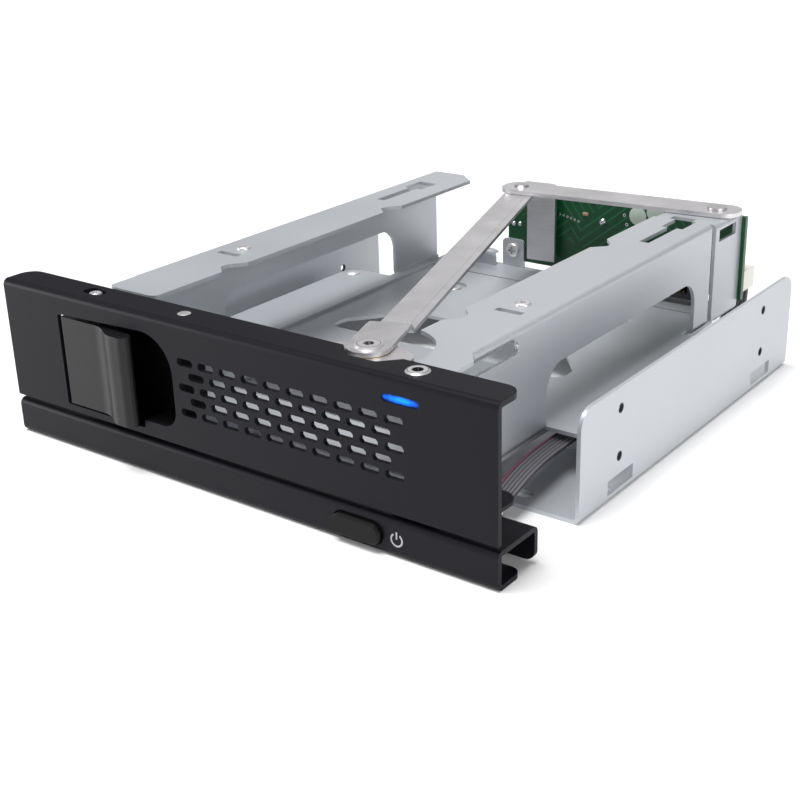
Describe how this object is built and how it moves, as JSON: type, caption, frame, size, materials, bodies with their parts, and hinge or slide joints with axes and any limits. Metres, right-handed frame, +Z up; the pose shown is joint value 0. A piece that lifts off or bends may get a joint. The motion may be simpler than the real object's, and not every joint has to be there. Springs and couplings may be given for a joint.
{
  "type": "hot swap drive cage",
  "caption": "Trayless cage for one 3.5 inch drive in a 5.25 inch bay, with a latched swinging door that pushes the drive out through a link and lever.",
  "frame": {"origin": "centre of the overall box's footprint, at its lowest level", "axes": "+X to the right seen from the front, +Y back into the bay, +Z up"},
  "size_m": [0.148, 0.1774, 0.042],
  "materials": {
    "bezel_black": "satin black powder coat",
    "handle_black": "satin moulded plastic",
    "chassis_grey": "light grey coated sheet steel",
    "bright_steel": "brushed and pressed steel",
    "washer_brass": "plain",
    "light_blue": "clear window, lit blue",
    "guide_clear": "clear moulded bar",
    "board_green": "solder mask",
    "connector_black": "moulded",
    "connector_white": "moulded",
    "contact_gold": "plated",
    "ribbon_grey": "flat cable jacket"
  },
  "bodies": {
    "cage": {"hold_down_springs": "bright_steel", "hinge_screw": "bright_steel", "receptacle_contacts": "contact_gold", "button_switch": "connector_black", "base_chassis": "chassis_grey", "tray_floor": "chassis_grey", "hinge_foot": "bezel_black", "board_parts": "connector_black", "button_board": "board_green", "ribbon_plug_rear": "connector_white", "front_strip": "bezel_black", "backplane_board": "board_green", "drive_receptacle": "connector_black", "hinge_pin": "bright_steel", "standoffs": "chassis_grey", "left_rail": "chassis_grey", "ribbon_plug_front": "connector_white", "drive_stop": "chassis_grey", "rear_data_port": "connector_black", "lever_pivot": "bright_steel", "power_pins": "contact_gold", "ribbon_cable": "ribbon_grey", "right_rail": "chassis_grey", "front_carrier": "chassis_grey", "light_guide": "guide_clear", "rear_bracket": "chassis_grey", "rear_power_port": "connector_white"},
    "door": {"door_panel": "bezel_black", "door_stiffener": "bezel_black", "handle_pocket": "bezel_black", "link_plate": "bright_steel", "light_window": "light_blue", "latch_pin": "bright_steel", "latch_spring": "bright_steel", "link_washer": "washer_brass"},
    "handle": {"latch_handle": "handle_black", "latch_hook": "bright_steel"},
    "lever": {"eject_lever": "bright_steel", "lever_rivet": "bright_steel"},
    "link": {"link_arm": "bright_steel", "link_screw": "bright_steel"},
    "button": {"power_button": "handle_black"}
  },
  "joints": [
    {"name": "door_hinge", "type": "hinge", "parent": "cage", "child": "door", "pos_m": [0.051, -0.0797, 0.025], "axis": [0, 0, 1], "range_deg": [0, 90]},
    {"name": "handle_latch", "type": "hinge", "parent": "door", "child": "handle", "pos_m": [-0.0458, -0.0797, 0.024], "axis": [0, 0, 1], "range_deg": [-25, 0], "stiffness_Nm_per_rad": 0.05},
    {"name": "lever_pivot_joint", "type": "hinge", "parent": "cage", "child": "lever", "pos_m": [0.047, 0.0711, 0.0398], "axis": [0, 0, 1], "range_deg": [0, 24.48]},
    {"name": "link_rear_joint", "type": "hinge", "parent": "lever", "child": "link", "pos_m": [-0.015, 0.0653, 0.0386], "axis": [0, 0, 1], "range_deg": [-23.14, 0]},
    {"name": "power_button_slide", "type": "slide", "parent": "cage", "child": "button", "axis": [0, 1, 0], "range_m": [0, 0.001], "stiffness_N_per_m": 400}
  ],
  "couplings": [
    {"joint": "lever_pivot_joint", "follows": "door_hinge", "ratio": 0.27198},
    {"joint": "link_rear_joint", "follows": "door_hinge", "ratio": -0.25711}
  ]
}
